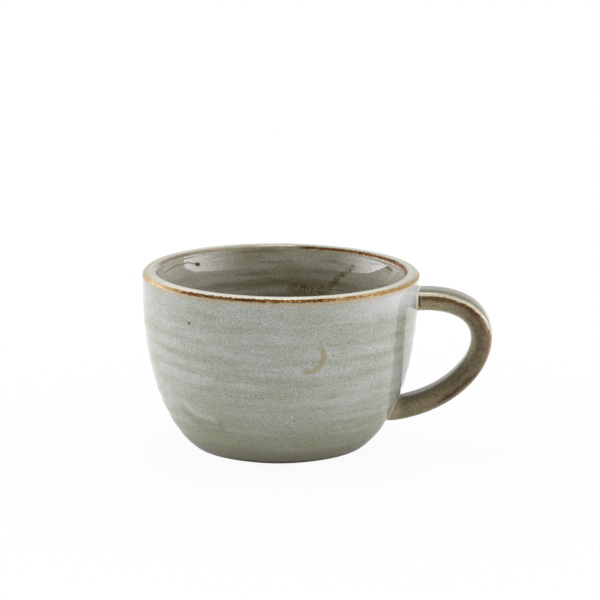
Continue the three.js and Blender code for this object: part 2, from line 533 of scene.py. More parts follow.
lift = on_wheel.times(on_wheel.plus(lift, wobble), on_wheel.ramp(radius, 0.0, pole_reach))
print("wheel has", len(wheel.nodes), "nodes with its rings")

# %% Round the axis
swept_radius = on_wheel.plus(radius, on_wheel.times(outward["X"], lift))
swept_height = on_wheel.plus(height, on_wheel.times(outward["Z"], lift))
reach_x = on_wheel.times(cosine, swept_radius)
lean_by = on_wheel.times(swept_height, wheel_given["Lean"])
dip = on_wheel.times(lean_by, on_wheel.over(reach_x, bowl_height))
place_x = on_wheel.plus(on_wheel.plus(reach_x, lean_by), wheel_given["Axis X"])
place_y = on_wheel.times(sine, swept_radius)
place_z = on_wheel.minus(swept_height, dip)
thrown = on_wheel.join(place_x, place_y, place_z)
bowl_shape = keep(on_wheel, sheet, "edge_mm", noted("edge_mm", "FLOAT"))
bowl_shape = keep(on_wheel, bowl_shape, "ring", ring)
end_tree(on_wheel, bowl_shape, thrown, wheel_given["Finish"])
print("wheel has", len(wheel.nodes), "nodes")

# %% [markdown]
# The glaze is a glossy celadon type: a grey that clouds from bluish to green, with a fine stipple of
# iron from the clay, brown where it runs thin over an edge. A painted picture could show it, but noise in
# the cup's own space needs no pictures and has no seam at the back. First the colours, then a helper for
# each layer.

# %% Glaze colours
mist_blue = tone(186, 189, 182)
celadon = tone(172, 174, 158)
olive = tone(146, 146, 116)
cream = tone(226, 206, 162)
lip_cream_and_highlight = tone(244, 236, 214)
lip_grey = tone(168, 168, 146)
thin_tan = tone(192, 170, 124)
rust = tone(162, 105, 40)
gold = tone(202, 168, 102)
iron_brown = tone(78, 45, 8)
bare_clay = tone(206, 190, 164)
print("ten glaze colours and one clay")


# %% Start of a finish
def new_finish(name):
    finish = bpy.data.materials.new(name)
    finish.use_nodes = True
    graph = Graph(finish.node_tree)
    place = graph.add("ShaderNodeTexCoord").node.outputs["Object"]
    return finish, graph, place


def attribute(graph, name):
    return graph.add("ShaderNodeAttribute", attribute_name=name).node.outputs["Fac"]


print("a finish reads its place in the cup's own space, and the notes on the mesh")


# %% Clouds and specks
def clouded(graph, place, light, middle, dark, rings_show):
    """Clouds of colour that drift round the wall, olive low down, partly painted shade, and painted shade
    and highlight on the rings.
    """
    drift = graph.vector("MULTIPLY", place, (1.0, 1.0, 2.6))
    patches = graph.ramp(graph.noise(drift, 20 * MM, 4.0, 0.6), 0.34, 0.66)
    colour = graph.mix(patches, light, middle)
    height = graph.split(place)["Z"]
    # Olive low down: partly the glaze, partly painted shade low on the cup.
    low_olive_and_shade = graph.ramp(height, 36 * MM, 2 * MM, 0.0, 0.9)
    # Painted shade in the hollows of the rings and a painted highlight on their ridges.
    ring_hollow_shade = graph.ramp(attribute(graph, "ring"), 0.2, -0.7, 0.0, rings_show)
    ring_ridge_highlight = graph.ramp(attribute(graph, "ring"), 0.2, 0.8, 0.0, rings_show)
    colour = graph.mix(graph.most(low_olive_and_shade, ring_hollow_shade), colour, dark)
    drawn_out = graph.vector("MULTIPLY", place, (0.12, 0.12, 1.0))
    lines = graph.ramp(graph.noise(drawn_out, 2.2 * MM, 2.0), 0.52, 0.7, 0.0, rings_show)
    colour = graph.mix(lines, colour, dark)
    return graph.mix(ring_ridge_highlight, colour, light)


def specks(graph, place, size, share):
    """Round dots, no two alike, on a random share of places: iron grains that came up through the glaze."""
    spots = graph.add("ShaderNodeTexVoronoi", place, 1 / size).node.outputs
    chosen = graph.ramp(graph.add("ShaderNodeSeparateColor", spots["Color"]), 1 - share, 1 - 0.5 * share)
    return graph.times(graph.ramp(spots["Distance"], 0.4, 0.15), chosen)


def stippled(graph, place, colour, strength):
    """A fine stipple of lighter and darker grains, and a few iron specks."""
    grain = graph.ramp(graph.noise(place, 0.28 * MM, 0.0), 0.25, 0.75, 1 - strength, 1 + strength)
    grey = graph.add("ShaderNodeCombineColor", grain, grain, grain)
    colour = graph.mix(1.0, colour, grey, "MULTIPLY")
    return graph.mix(graph.times(specks(graph, place, 0.9 * MM, 0.12), 0.35), colour, iron_brown)


print("iron specks are coloured", [round(part, 3) for part in iron_brown[:3]])


# %% Lip and broken edges
def from_middle(graph, x):
    """How far a spot lies to the left or right of the bowl's axis."""
    return graph.math("ABSOLUTE", graph.minus(x, axis_x))


def paler_lip(graph, place, colour):
    """Paler on the flat top of the lip, partly the glaze and partly a painted reflection; darker left and
    right, as painted shade.
    """
    spot = graph.split(place)
    on_top = graph.ramp(spot["Z"], lip_top - 0.9 * MM, lip_top - 0.3 * MM, 0.0, 0.7)
    # Darker lip at the cup's left and right: painted shade where the side panels light it most.
    sideways = from_middle(graph, spot["X"])
    lip_tone_and_side_shade = graph.mix(graph.ramp(sideways, 32 * MM, 46 * MM), tone(186, 187, 164), tone(144, 144, 112))
    return graph.mix(on_top, colour, lip_tone_and_side_shade)


def broken(graph, place, colour, width, amount, paleness, border_share):
    """Brown where the glaze runs thin on an edge: rust with flecks, tan below it, and above it cream with a
    painted highlight in front and grey at the back.
    """
    spot = graph.split(place)
    # Above the break: cream on the front of the lip, partly a painted highlight there, and grey at the
    # back.
    lip_colour_and_highlight = graph.mix(graph.ramp(spot["Y"], -5 * MM, -35 * MM), lip_grey, lip_cream_and_highlight)
    upper_side = graph.ramp(spot["Z"], lip_top - 0.9 * MM, lip_top - 0.3 * MM)
    border_colour = graph.mix(upper_side, thin_tan, lip_colour_and_highlight)
    wander = graph.minus(graph.noise(place, 3 * MM, 2.0), 0.5)
    ragged = graph.minus(graph.noise(place, 0.7 * MM, 1.0), 0.5)
    distance = graph.math("MULTIPLY_ADD", wander, 0.8, attribute(graph, "edge_mm"))
    border = graph.times(graph.ramp(distance, 3.4 * width, 0.8 * width), border_share)
    colour = graph.mix(graph.times(border, amount), colour, border_colour)
    distance = graph.math("MULTIPLY_ADD", ragged, 0.9, distance)
    band = graph.ramp(distance, 1.05 * width, 0.5 * width)
    patch = graph.minus(graph.noise(place, 16 * MM, 2.0), 0.5)
    drawn_out = graph.vector("MULTIPLY", place, (1.0, 1.0, 2.6))
    fleck = graph.math("MULTIPLY_ADD", patch, 0.4, graph.noise(drawn_out, 1.3 * MM, 3.0, 0.7))
    fleck = graph.plus(fleck, paleness)
    brown = graph.mix(graph.ramp(fleck, 0.4, 0.56), iron_brown, rust)
    brown = graph.mix(graph.ramp(fleck, 0.56, 0.72), brown, cream)
    brown = graph.mix(graph.ramp(paleness, 0.0, 0.1, 0.0, 0.55), brown, gold)
    return graph.mix(graph.times(band, amount), colour, brown)


def dry_edge(graph):
    """1 where the glaze is so thin on an edge that it has lost its gloss."""
    return graph.ramp(attribute(graph, "edge_mm"), 1.2, 0.5)


print(f"the lip is palest at its top, {lip_top / MM:.2f} mm up")


# %% Gloss
glass_bending = 1.52
orange_peel = 0.1 * MM
orange_peel_share = 0.03
full_mirror = 0.5
dull_mirror = 0.12
dull_rough = 0.7


def glossed(graph, finish, place, colour, gloss, dull=None):
    """The colour under a gloss that varies a little and mirrors less where the glaze is dull."""
    shader = finish.node_tree.nodes["Principled BSDF"]
    graph.feed(shader.inputs["Base Color"], colour)
    rough = graph.ramp(graph.noise(place, 3 * MM, 3.0), 0.3, 0.7, gloss * 0.7, gloss * 1.3)
    mirror = full_mirror
    if dull is not None:
        rough = graph.most(rough, graph.times(dull, dull_rough))
        mirror = graph.ramp(dull, 0.0, 0.5, full_mirror, dull_mirror)
    graph.feed(shader.inputs["Roughness"], rough)
    graph.feed(shader.inputs["Specular IOR Level"], mirror)
    shader.inputs["IOR"].default_value = glass_bending
    bump = graph.add("ShaderNodeBump").node
    bump.inputs["Strength"].default_value = orange_peel_share
    bump.inputs["Distance"].default_value = orange_peel
    graph.feed(bump.inputs["Height"], graph.noise(place, 1.5 * MM, 2.0))
    graph.feed(shader.inputs["Normal"], bump.outputs["Normal"])


print("gloss bends light by", glass_bending)

# %% [markdown]
# A few marks make this cup a single fired piece and not a pattern: a tan crescent and an iron speck
# outside, a brown spot and a speckled streak inside. They are drawn on the wall as if it were unrolled
# flat, with the distance round the axis as one direction and the height as the other.


# %% Unrolled wall
def unrolled(graph, place, radius):
    spot = graph.split(place)
    turn = graph.math("ARCTAN2", spot["Y"], graph.minus(spot["X"], axis_x))
    return graph.join(graph.times(turn, radius), spot["Z"], 0.0)


def wall_spot(turn, height, radius):
    return (math.radians(turn) * radius, height * MM, 0.0)


def wall_spots(places, radius):
    return [wall_spot(turn, height, radius) for turn, height in places]


print(f"a quarter turn is {wall_spot(90, 0, rim_radius)[0] / MM:.1f} mm on the unrolled wall")


# %% Shapes of the marks
def near_line(graph, flat, start, end, width):
    """1 on the straight line between two spots, fading to 0 at its width."""
    start, end = Vector(start), Vector(end)
    along = end - start
    offset = graph.vector("SUBTRACT", flat, tuple(start))
    share = graph.vector("DOT_PRODUCT", offset, tuple(along / along.length_squared))
    closest = graph.vector("SCALE", tuple(along), graph.add("ShaderNodeClamp", share))
    distance = graph.vector("DISTANCE", offset, closest)
    return graph.ramp(distance, width, 0.3 * width)


def near_path(graph, flat, spots, width):
    """1 on the bent line through several spots, fading to 0 at its width."""
    share = 0.0
    for start, end in zip(spots, spots[1:]):
        share = graph.most(share, near_line(graph, flat, start, end, width))
    return share


def near_spot(graph, flat, centre, radius):
    return graph.ramp(graph.vector("DISTANCE", flat, centre), radius, 0.45 * radius)


def near_arc(graph, flat, centre, radius, width, facing):
    """1 on the part of a circle that faces one way, thinning out to its ends."""
    offset = graph.vector("SUBTRACT", flat, centre)
    off_circle = graph.math("ABSOLUTE", graph.minus(graph.vector("LENGTH", offset), radius))
    facing_share = graph.vector("DOT_PRODUCT", graph.vector("NORMALIZE", offset), facing)
    on_circle = graph.ramp(off_circle, width, 0.2 * width)
    return graph.times(on_circle, graph.ramp(facing_share, -0.1, 0.5))


def stained(graph, colour, mask, strength, stain):
    return graph.mix(graph.times(mask, strength), colour, stain)


print("marks are lines, spots and arcs on the unrolled wall")

# %% [markdown]
# Each finish is built up in layers: clouds first, then the marks, the stipple, and the brown break on the
# edges. A mark is a mask between 0 and 1, and its colour is mixed over the glaze by that share. The lip
# isn't the same all round: the break is golden on the left, a little so on the right and dark in front.

# %% Glaze outside
tan = tone(158, 148, 96)
outside_finish, graph, place = new_finish("outside_glaze_celadon")
colour = clouded(graph, place, mist_blue, celadon, olive, 0.28)
outer_flat = unrolled(graph, place, rim_radius)
crescent_middle = wall_spot(-72, 43.9, rim_radius)
crescent = near_arc(graph, outer_flat, crescent_middle, 5.0 * MM, 1.7 * MM, (0.8, -0.6, 0.0))
colour = stained(graph, colour, crescent, 0.68, tan)
# The finger fold: a painted shade in the hollow below it and a painted highlight along its crest.
fold_crest = wall_spots(((-133, 24), (-126, 20.5), (-115, 18.6)), rim_radius)
fold_shade = wall_spots(((-134, 20.4), (-127, 16.2), (-113, 15.9)), rim_radius)
fold_painted_shade = near_path(graph, outer_flat, fold_shade, 3.4 * MM)
colour = stained(graph, colour, fold_painted_shade, 0.3, tone(118, 118, 92))
fold_painted_highlight = near_path(graph, outer_flat, fold_crest, 1.8 * MM)
colour = stained(graph, colour, fold_painted_highlight, 0.25, tone(206, 208, 190))
colour = stippled(graph, place, colour, 0.28)
iron_speck = near_spot(graph, outer_flat, wall_spot(-123, 53.9, rim_radius), 0.8 * MM)
colour = stained(graph, colour, iron_speck, 0.8, iron_brown)
cream_dot = near_spot(graph, outer_flat, wall_spot(-78.5, 21.7, rim_radius), 0.9 * MM)
colour = stained(graph, colour, cream_dot, 0.45, cream)
print("marks outside have", len(outside_finish.node_tree.nodes), "nodes")

# %% Edges of the glaze outside
outer_place = graph.split(place)
outer_x = outer_place["X"]
outer_z = outer_place["Z"]
upper_right_reflection = graph.ramp(outer_x, axis_x + 22 * MM, axis_x + 44 * MM)
upper_right_reflection = graph.times(upper_right_reflection, graph.ramp(outer_z, 54 * MM, 60 * MM))
# Darker on the right, in line with the handle: a painted reflection of the dark handle in the glaze.
handle_reflection_strip = graph.ramp(outer_x, axis_x + 40 * MM, axis_x + 45 * MM)
handle_reflection_strip = graph.times(handle_reflection_strip, graph.between(outer_z, 22 * MM, 30 * MM, 52 * MM, 58 * MM))
colour = stained(graph, colour, handle_reflection_strip, 0.25, tone(120, 122, 104))
# Lavender-white just under the lip on the right: a painted reflection.
below_lip = graph.ramp(outer_z, lip_top - 1.4 * MM, lip_top - 2.4 * MM)
colour = stained(graph, colour, graph.times(upper_right_reflection, below_lip), 0.55, tone(224, 223, 226))
pale_left = graph.ramp(outer_x, axis_x - 24 * MM, axis_x - 40 * MM, -0.03, 0.15)
pale_right = graph.ramp(outer_x, axis_x + 10 * MM, axis_x + 38 * MM, -0.03, 0.06)
paleness = graph.most(pale_left, pale_right)
outer_border = graph.ramp(paleness, 0.0, 0.2, 0.8, 0.35)
colour = broken(graph, place, paler_lip(graph, place, colour), 0.78, 1.0, paleness, outer_border)
lip_sides = graph.ramp(outer_z, lip_top - 2.5 * MM, lip_top - 1.5 * MM)
lip_sides = graph.times(lip_sides, graph.ramp(from_middle(graph, outer_x), 42 * MM, 48 * MM))
colour = stained(graph, colour, lip_sides, 0.4, tone(132, 126, 88))
# Darker towards the foot: partly the glaze, partly painted shade close to the table.
near_foot_olive_and_shade = graph.ramp(outer_z, 11 * MM, 2 * MM)
colour = stained(graph, colour, near_foot_olive_and_shade, 0.45, tone(84, 80, 60))
# A dark brown line at the glaze edge over the foot: partly the glaze breaking brown, partly painted shade
# above the undercut foot.
foot_break_and_shade = graph.ramp(outer_z, glaze_stop + 0.9 * MM, glaze_stop + 0.3 * MM)
colour = stained(graph, colour, foot_break_and_shade, 0.9, tone(60, 42, 22))
glossed(graph, outside_finish, place, colour, 0.025, graph.times(dry_edge(graph), 0.5))
print("finish", outside_finish.name)

# %% Glaze inside
inner_radius = rim_radius - wall
inside_finish, graph, place = new_finish("inside_glaze_celadon")
# Darker and more olive than outside: partly thicker glaze, partly painted shade inside the bowl.
colour = clouded(graph, place, tone(168, 165, 147), tone(148, 144, 120), tone(122, 117, 86), 0.75)
inner_x = graph.split(place)["X"]
# Paler flanks inside: painted light from the side panels across the bowl.
left_flank_light = graph.ramp(inner_x, axis_x - 16 * MM, axis_x - 40 * MM, 0.0, 0.5)
right_flank_light = graph.ramp(inner_x, axis_x + 16 * MM, axis_x + 42 * MM, 0.0, 0.45)
colour = stained(graph, colour, graph.most(left_flank_light, right_flank_light), 1.0, tone(200, 202, 190))
inner_flat = unrolled(graph, place, inner_radius)
streak_spots = wall_spots(((71, 48.6), (64.5, 54.2), (57, 58.6)), inner_radius)
puddle_spots = wall_spots(((90, 48.5), (73, 48.5)), inner_radius)
streak = near_path(graph, inner_flat, streak_spots, 1.7 * MM)
puddle = near_path(graph, inner_flat, puddle_spots, 2.6 * MM)
speckled = graph.most(streak, puddle)
colour = stained(graph, colour, speckled, 0.5, tone(120, 102, 24))
dots = 0.0
for dot_size in (1.7 * MM, 1.3 * MM, 0.9 * MM):
    dots = graph.most(dots, specks(graph, place, dot_size, 1.4))
dots = graph.times(speckled, dots)
colour = stained(graph, colour, dots, 0.95, tone(62, 44, 4))
arc_spots = wall_spots(((46, 61), (38, 61.7), (28, 60.9)), inner_radius)
colour = stained(graph, colour, near_path(graph, inner_flat, arc_spots, 0.8 * MM), 0.75, tone(104, 96, 48))
colour = stippled(graph, place, colour, 0.3)
print("marks inside have", len(inside_finish.node_tree.nodes), "nodes")

# %% Brown spot and edges inside
brown_spots = wall_spots(((140.2, 60.4), (141.6, 60.6)), inner_radius)
brown_spot = near_path(graph, inner_flat, brown_spots, 1.0 * MM)
colour = stained(graph, colour, brown_spot, 0.95, tone(78, 60, 18))
tail_spots = wall_spots(((141, 60.5), (147, 61.8), (156, 62), (170, 61.3)), inner_radius)
tail = near_path(graph, inner_flat, tail_spots, 0.5 * MM)
colour = stained(graph, colour, tail, 0.6, tone(112, 94, 52))
strong_edge = near_path(graph, inner_flat, wall_spots(((76, 64), (2, 64)), inner_radius), 14 * MM)
edge_dash = near_path(graph, inner_flat, wall_spots(((172, 64), (147, 64)), inner_radius), 3 * MM)
edge_dash = graph.times(edge_dash, 0.55)
patchy = graph.ramp(graph.noise(place, 12 * MM, 2.0), 0.4, 0.62, 0.15, 0.45)
edge_share = graph.most(strong_edge, edge_dash, patchy)
colour = broken(graph, place, paler_lip(graph, place, colour), 0.85, edge_share, -0.05, 0.25)
edge_dull = graph.times(dry_edge(graph), edge_share, 0.6)
dull_marks = graph.most(brown_spot, graph.times(tail, 0.35), graph.times(dots, 0.7), edge_dull)
glossed(graph, inside_finish, place, colour, 0.03, dull_marks)
print("finish", inside_finish.name)

# %% Bare clay
clay_finish, graph, place = new_finish("bare_stoneware")
colour = graph.mix(graph.noise(place, 4 * MM, 4.0), bare_clay, tone(184, 162, 130))
colour = stippled(graph, place, colour, 0.1)
glossed(graph, clay_finish, place, colour, 0.75)
print("finish", clay_finish.name)

# %% [markdown]
# Each turned piece starts as a bare chain of points, the profile, and the wheel tree does the rest. The
# coats get a thin Solidify so that they are real layers with two sides. Then the result is turned into a
# plain mesh.


# %% Chain of points
def chain(name, run, rings, edge):
    mesh = bpy.data.meshes.new(name)
    points = [(radius, 0, height) for radius, height in run]
    mesh.from_pydata(points, [(i, i + 1) for i in range(len(points) - 1)], [])
    across = normals_of(run)
    outward = np.column_stack([across[:, 0], np.zeros(len(run)), across[:, 1]])
    mesh.attributes.new("outward", "FLOAT_VECTOR", "POINT").data.foreach_set("vector", outward.ravel())
    mesh.attributes.new("rings", "FLOAT", "POINT").data.foreach_set("value", np.asarray(rings, float))
    mesh.attributes.new("edge_mm", "FLOAT", "POINT").data.foreach_set("value", np.asarray(edge, float))
    piece = bpy.data.objects.new(name, mesh)
    bpy.context.collection.objects.link(piece)
    return piece


print("a chain carries its normals, its rings and its distance to the edge")


# %% From a tree to a plain mesh
def set_sizes(piece, tree, sizes):
    modifier = piece.modifiers.new(tree.name, "NODES")
    modifier.node_group = tree
    sockets = [item for item in tree.interface.items_tree if item.in_out == "INPUT"]
    identifiers = {socket.name: socket.identifier for socket in sockets}
    for name, value in sizes.items():
        modifier[identifiers[name]] = value


def settle(piece, finish):
    """Turn what the modifiers make into the piece's own plain mesh, with one finish in its slots."""
    shown = piece.evaluated_get(bpy.context.evaluated_depsgraph_get())
    made = bpy.data.meshes.new_from_object(shown)
    made.materials.clear()
    made.materials.append(finish)
    piece.modifiers.clear()
    piece.data = made
    made.name = piece.name
    print(f"{piece.name}: {len(made.polygons)} faces, finish {finish.name}")


print("each tree's modifier is taken off once its mesh is made")

# %% Throw a piece
columns = 225
ring_pitch = 6.0 * MM
ring_depth = 0.11 * MM
unevenness = 0.25 * MM
bowl_lean = math.radians(0.58)
skin = 0.28 * MM


def thrown_piece(name, run, rings, edge, finish, thickness):
    piece = chain(name, run, rings, edge)
    sizes = {
        "Columns": columns,
        "Axis X": axis_x,
        "Ring Pitch": ring_pitch,
        "Ring Depth": ring_depth,
        "Unevenness": unevenness,
        "Lean": bowl_lean,
        "Finish": finish,
    }
    set_sizes(piece, wheel, sizes)
    if thickness:
        layer = piece.modifiers.new("coat", "SOLIDIFY")
        layer.thickness = thickness
        layer.offset = -1
    settle(piece, finish)
    return piece


outside_coat = thrown_piece(
    "outside_coat", outside_glazed, outside_rings, outside_edge, outside_finish, skin
)

# %% [markdown]
# Low on the left the wall carries a finger mark: a slanted fold, raised above and pressed in below, made
# when the wet cup was lifted off the wheel. It is a single mark, so its vertices are moved in plain mesh
# code.

# %% Finger mark
fold_start = wall_spot(-134, 21, rim_radius)
fold_end = wall_spot(-114, 16, rim_radius)
fold_rise = 0.6 * MM
fold_width = 2.2 * MM
fold_bend = 0.8
fold_bias = 0.35


def press_fold(piece, start, end, rise, width):
    count = len(piece.data.vertices)
    flat = np.empty(count * 3)
    piece.data.vertices.foreach_get("co", flat)
    points = flat.reshape(-1, 3)
    turn = np.arctan2(points[:, 1], points[:, 0] - axis_x)
    unrolled_points = np.column_stack([turn * rim_radius, points[:, 2]])
    start, end = np.array(start[:2]), np.array(end[:2])
    along = (end - start) / np.linalg.norm(end - start)
    offset = unrolled_points - (start + end) / 2
    down_line = offset @ along / (np.linalg.norm(end - start) / 2)
    over_line = offset @ np.array([-along[1], along[0]]) / width
    over_line = over_line - fold_bend * down_line**2
    lift = rise * (over_line + fold_bias) * np.exp(-over_line**2) * np.exp(-down_line**4)
    points[:, 0] += np.cos(turn) * lift
    points[:, 1] += np.sin(turn) * lift
    piece.data.vertices.foreach_set("co", points.ravel())
    print(f"finger mark moves the glaze by {lift.min() / MM:.2f} to {lift.max() / MM:.2f} mm")


press_fold(outside_coat, fold_start, fold_end, fold_rise, fold_width)

# %% Coat inside
inside_coat = thrown_piece("inside_coat", inside_glazed, inside_rings, inside_edge, inside_finish, skin)

# %% [markdown]
# Under the glaze is the clay itself. Only its foot ring shows: a low ring with softened corners, trimmed on
# the wheel once the clay was leather hard and left bare so that the cup didn't stick to the kiln shelf.
# Inside the ring lies a disc of glaze. Both are thrown on the same wheel as the coats.

# %% Clay bowl
foot_width = 3.6 * MM
foot_recess = 1.4 * MM
foot_soft = 0.35 * MM
corner_points = 5
underside_points = 12
far_from_edge = 20.0
foot_inside = foot_radius - foot_width


def soft_corner(radius, height, start_angle, sweep):
    angle = start_angle + sweep * np.linspace(0, 1, corner_points)
    return np.column_stack([radius + foot_soft * np.cos(angle), height + foot_soft * np.sin(angle)])


underside_radii = np.linspace(0, foot_inside, underside_points)
underside = np.column_stack([underside_radii, np.full(underside_points, foot_recess)])
quarter = math.pi / 2
foot_run = np.vstack([
    soft_corner(foot_inside + foot_soft, foot_soft, math.pi, quarter),
    soft_corner(foot_radius - foot_soft, foot_soft, -quarter, quarter),
])
foot_side = np.array([[outside_radius(foot_step), foot_step]])
clay_run = np.vstack([underside, foot_run, foot_side, outside_run, inside_run[1:]])
no_rings = np.zeros(len(clay_run))
far_off = np.full(len(clay_run), far_from_edge)
clay_bowl = thrown_piece("clay_bowl", clay_run, no_rings, far_off, clay_finish, 0)

# %% Coat underneath
underside_share = 0.99
underside_run = underside * (underside_share, 1) - (0, coat)
underside_edge = distance_from(underside_run, len(underside_run) - 1) + edge_start
underside_rings = np.zeros(len(underside_run))
underside_coat = thrown_piece(
    "underside_coat", underside_run, underside_rings, underside_edge, outside_finish, skin
)

# %% [markdown]
# The handle is a strap of clay, pulled by wet hands and bent into a loop. In Geometry Nodes its centre line
# is one Bezier curve and its section an oblong with well rounded sides. A curve-to-mesh sweep would stop
# flat at the wall. Here each point near a root is sent along a ray to the wall instead, and spreads as it
# gets there, which gives the smeared fillet that a thumb leaves. The lower end is also tucked in on its
# outer side, where it was pressed on.

# %% Strap tree
strap_inputs = {
    "Object": ["Wall"],
    "Int": ["Columns", "Rows", "Root Rows"],
    "Float": ["Thickness", "Width", "Side Round", "Fillet", "Tuck", "Upper Root", "Lower Root"],
    "Vector": ["Start", "Start Pull", "End Pull", "End"],
    "Material": ["Finish"],
}
strap, on_strap, strap_given = new_tree("pulled_strap", strap_inputs)
sheet, column, row = grid_of(on_strap, strap_given["Columns"], strap_given["Rows"])
line_steps = 200
line_points = [strap_given[name] for name in strap_inputs["Vector"]]
line = on_strap.add("GeometryNodeCurvePrimitiveBezierSegment", line_steps, *line_points)
last_row = on_strap.minus(strap_given["Rows"], 1)
rows_left = on_strap.minus(last_row, row)
upper_row = on_strap.plus(strap_given["Root Rows"], 1)
lower_row = on_strap.minus(last_row, upper_row)
way_sockets = (row, upper_row, lower_row, strap_given["Upper Root"], strap_given["Lower Root"])
way = on_strap.add("ShaderNodeMapRange", *way_sockets)
on_line = on_strap.add("GeometryNodeSampleCurve", line, None, way, mode="FACTOR").node.outputs
print("inputs of the strap:", strap_inputs)

# %% Section of the strap
steps_round = on_strap.minus(strap_given["Columns"], 1)
wrapped_column = on_strap.math("MODULO", column, steps_round)
section_angle = on_strap.times(on_strap.over(wrapped_column, steps_round), 2 * math.pi)
thick_share = on_strap.math("COSINE", section_angle)
width_share = on_strap.math("SINE", section_angle)
side_round = strap_given["Side Round"]
flatness = 0.3


def rounded(share, size):
    """Half a side of the section: a flat stretch with a round corner added to it."""
    flat_share = on_strap.math("POWER", on_strap.math("ABSOLUTE", share), flatness)
    flat_share = on_strap.times(flat_share, on_strap.math("SIGN", share))
    flat_half = on_strap.math("MULTIPLY_ADD", size, 0.5, on_strap.times(side_round, -1.0))
    return on_strap.math("MULTIPLY_ADD", flat_half, flat_share, on_strap.times(side_round, share))


cap_upper = on_strap.math("LESS_THAN", row, 0.5)
cap_lower = on_strap.math("LESS_THAN", rows_left, 0.5)
cap = on_strap.most(cap_upper, cap_lower)
open_share = on_strap.minus(1.0, cap)
out_by = rounded(thick_share, strap_given["Thickness"])
side_by = rounded(width_share, strap_given["Width"])
print("strap has", len(strap.nodes), "nodes with its section")

# %% Along the centre line
outwards = on_strap.vector("CROSS_PRODUCT", on_line["Tangent"], (0.0, 1.0, 0.0))


def across_strap(out_share, side_share):
    out_part = on_strap.vector("SCALE", outwards, out_share)
    side_part = on_strap.vector("SCALE", (0.0, -1.0, 0.0), side_share)
    return on_strap.vector("ADD", out_part, side_part)


offset = on_strap.vector("SCALE", across_strap(out_by, side_by), open_share)
lean = across_strap(thick_share, width_share)
free_place = on_strap.vector("ADD", on_line["Position"], offset)
print("strap has", len(strap.nodes), "nodes along its line")

# %% [markdown]
# At the two roots the Raycast node sends each point along the strap to the glazed wall and says how far it
# has to go. The last rows of points travel that far, so the handle meets the wall whatever the rings and
# the lean have done to it, and its ends sink in a little so that no gap is left.

# %% Roots on the wall
wall_shape = on_strap.add("GeometryNodeObjectInfo", strap_given["Wall"]).node.outputs["Geometry"]
ray_length = 40 * MM


def rows_into_root(rows_in):
    share = on_strap.over(on_strap.minus(rows_in, 1), strap_given["Root Rows"])
    rest = on_strap.minus(1.0, share)
    return on_strap.add("ShaderNodeClamp", rest)


root_share = on_strap.most(rows_into_root(row), rows_into_root(rows_left))
going_up = on_strap.math("LESS_THAN", row, rows_left)
heading = on_strap.math("MULTIPLY_ADD", going_up, -2.0, 1.0)
to_wall = on_strap.vector("SCALE", on_line["Tangent"], heading)


def reach(origin):
    ray = on_strap.add("GeometryNodeRaycast", wall_shape, None, origin, to_wall, ray_length)
    return ray.node.outputs["Hit Distance"]


print("rays to the wall are up to", ray_length / MM, "mm long")

# %% Fillet, tuck and sink at the roots
sink = 0.05 * MM
cap_sink = 0.5 * MM
gap_easing = 1.7
tuck_easing = 2.0
sink_easing = 4.0
gap_share = on_strap.math("POWER", on_strap.minus(1.0, root_share), gap_easing)
gap = on_strap.times(reach(free_place), gap_share)
fillet = strap_given["Fillet"]
near = on_strap.most(on_strap.minus(fillet, gap), 0.0)
square_left = on_strap.minus(on_strap.math("POWER", fillet, 2.0), on_strap.math("POWER", near, 2.0))
flare = on_strap.minus(fillet, on_strap.math("SQRT", square_left))
flare = on_strap.times(flare, open_share)
spread_place = on_strap.vector("ADD", free_place, on_strap.vector("SCALE", lean, flare))
outer_share = on_strap.times(on_strap.most(thick_share, 0.0), on_strap.minus(1.0, going_up))
tuck_share = on_strap.times(on_strap.math("POWER", root_share, tuck_easing), outer_share)
tuck_by = on_strap.times(tuck_share, strap_given["Tuck"], -1.0)
spread_place = on_strap.vector("ADD", spread_place, on_strap.vector("SCALE", outwards, tuck_by))
depth = on_strap.math("MULTIPLY_ADD", cap, cap_sink, sink)
depth = on_strap.times(depth, on_strap.math("POWER", root_share, sink_easing))
travel = on_strap.plus(on_strap.minus(reach(spread_place), gap), depth)
root_place = on_strap.vector("ADD", spread_place, on_strap.vector("SCALE", to_wall, travel))
at_root = on_strap.math("GREATER_THAN", root_share, 0.0)
strap_place = on_strap.add("ShaderNodeMix", at_root, free_place, root_place, data_type="VECTOR")
print("ends of the strap sink in by", cap_sink / MM, "mm")

# %% Notes for the finish, and the end of the strap tree
crest_angle = on_strap.ramp(way, 0.24, 0.48, math.radians(57), math.radians(20))
crest_angle = on_strap.plus(crest_angle, on_strap.ramp(way, 0.5, 0.62, 0.0, math.radians(38)))
folded_angle = on_strap.math("ARCCOSINE", thick_share)
below_crest = on_strap.times(on_strap.minus(folded_angle, crest_angle), side_round)
strap_shape = keep(on_strap, sheet, "crest_mm", on_strap.over(below_crest, MM))
strap_shape = keep(on_strap, strap_shape, "turned", on_strap.over(folded_angle, math.pi))
strap_shape = keep(on_strap, strap_shape, "along", way)
strap_shape = keep(on_strap, strap_shape, "root", root_share)
end_tree(on_strap, strap_shape, strap_place, strap_given["Finish"])
print("strap has", len(strap.nodes), "nodes")

# %% [markdown]
# On the strap the glaze is thinner than on the bowl. It lies grey on the outer face of the upper half and
# on the inner face below. The inner face above is pale: painted light from the table under it. The glaze is
# thin on the rounded sides, where the clay shows through olive and brown. Along the crest of the upper half
# runs a cream line, partly the glaze and partly a painted highlight, with a dark, speckled break below it.
# A painted map would need unwrapping; the notes that the tree left on the mesh say where each of these
# lies.

